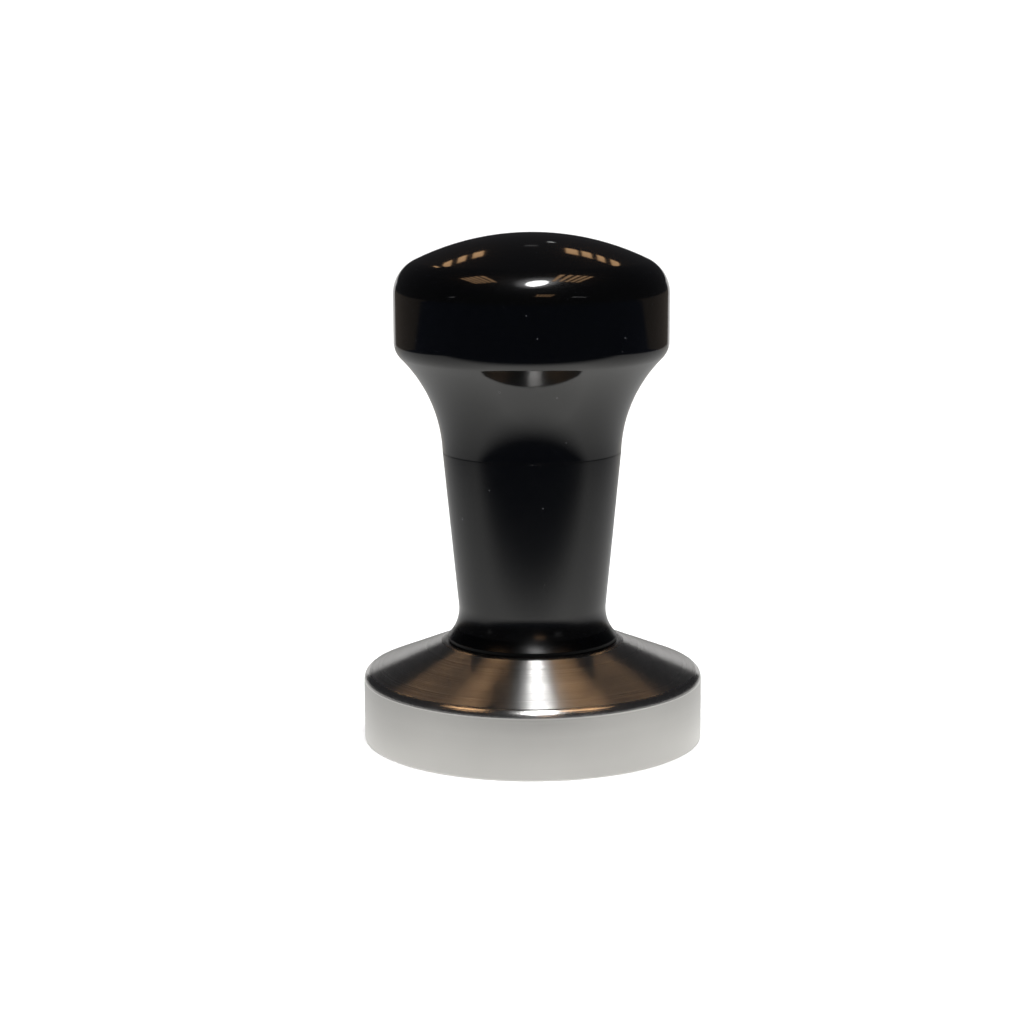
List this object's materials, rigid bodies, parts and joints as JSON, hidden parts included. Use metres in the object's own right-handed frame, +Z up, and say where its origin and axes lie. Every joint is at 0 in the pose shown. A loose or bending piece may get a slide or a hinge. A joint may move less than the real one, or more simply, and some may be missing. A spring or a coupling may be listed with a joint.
{
  "type": "espresso tamper",
  "caption": "Espresso tamper: flat round steel base with a conical top and a black palm grip that unscrews from it on a tie stud.",
  "frame": {"origin": "centre of the flat tamping face, at the bottom of the base", "axes": "+Z up along the tamper's axis, through the handle; X and Y lie in the tamping face"},
  "size_m": [0.058, 0.058, 0.0865],
  "materials": {
    "turned_steel": "stainless steel, fine-turned on the cone and satin on the side",
    "hardware_steel": "bright machined steel",
    "joint_ring": "satin black fibre",
    "neck_black": "turned and polished, slightly softer gloss than the grip",
    "tube_aluminium": "plain drawn tube",
    "grip_black": "polished to a high gloss",
    "insert_brass": "machined brass"
  },
  "bodies": {
    "base": {"base": "turned_steel", "tie_stud": "hardware_steel", "lock_washer": "hardware_steel", "lock_nut": "hardware_steel", "foot_ring": "joint_ring"},
    "neck": {"lower_neck": "neck_black", "centre_tube": "tube_aluminium", "waist_ring": "joint_ring"},
    "grip": {"upper_grip": "grip_black", "thread_insert": "insert_brass", "insert_keys": "hardware_steel"}
  },
  "joints": [
    {"name": "neck_lift", "type": "slide", "parent": "base", "child": "neck", "axis": [0, 0, 1], "range_m": [0, 0.0125]},
    {"name": "grip_unscrew", "type": "hinge", "parent": "neck", "child": "grip", "pos_m": [0, 0, 0.04975], "axis": [0, 0, 1], "range_deg": [0, 3600]}
  ],
  "couplings": [
    {"joint": "neck_lift", "follows": "grip_unscrew", "m_per_rad": 0.00019894}
  ]
}
